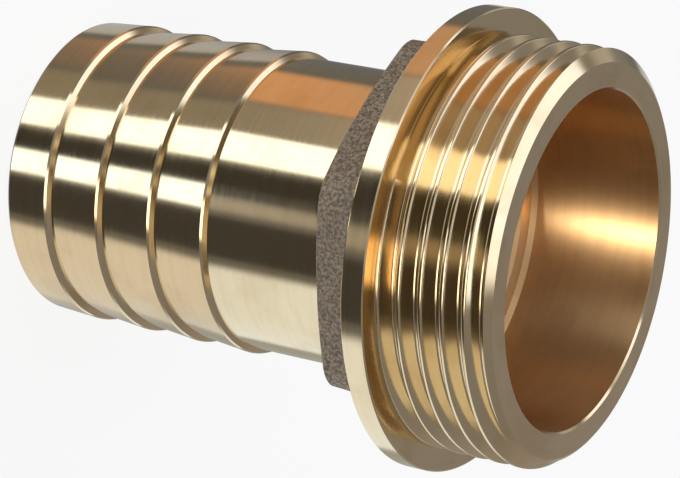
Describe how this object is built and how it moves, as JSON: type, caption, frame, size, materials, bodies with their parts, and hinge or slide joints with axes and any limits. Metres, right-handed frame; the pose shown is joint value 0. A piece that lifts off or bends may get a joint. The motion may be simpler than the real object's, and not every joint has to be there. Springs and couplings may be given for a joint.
{
  "type": "hose barb tail",
  "caption": "Bronze hose tail: a barbed spigot takes a push-on hose, and a flanged male parallel pipe thread screws it into a port.",
  "frame": {"origin": "centre of the tail end face, where the hose is pushed on, on the axis", "axes": "+Z along the axis from the hose end to the threaded end; two spanner flats face -Y and +Y"},
  "size_m": [0.0467, 0.0468, 0.0588],
  "materials": {
    "bronze": "turned bronze, satin to bright, with a matte sand-cast spanner band"
  },
  "bodies": {
    "root": {"hose_tail": "bronze"}
  },
  "joints": []
}
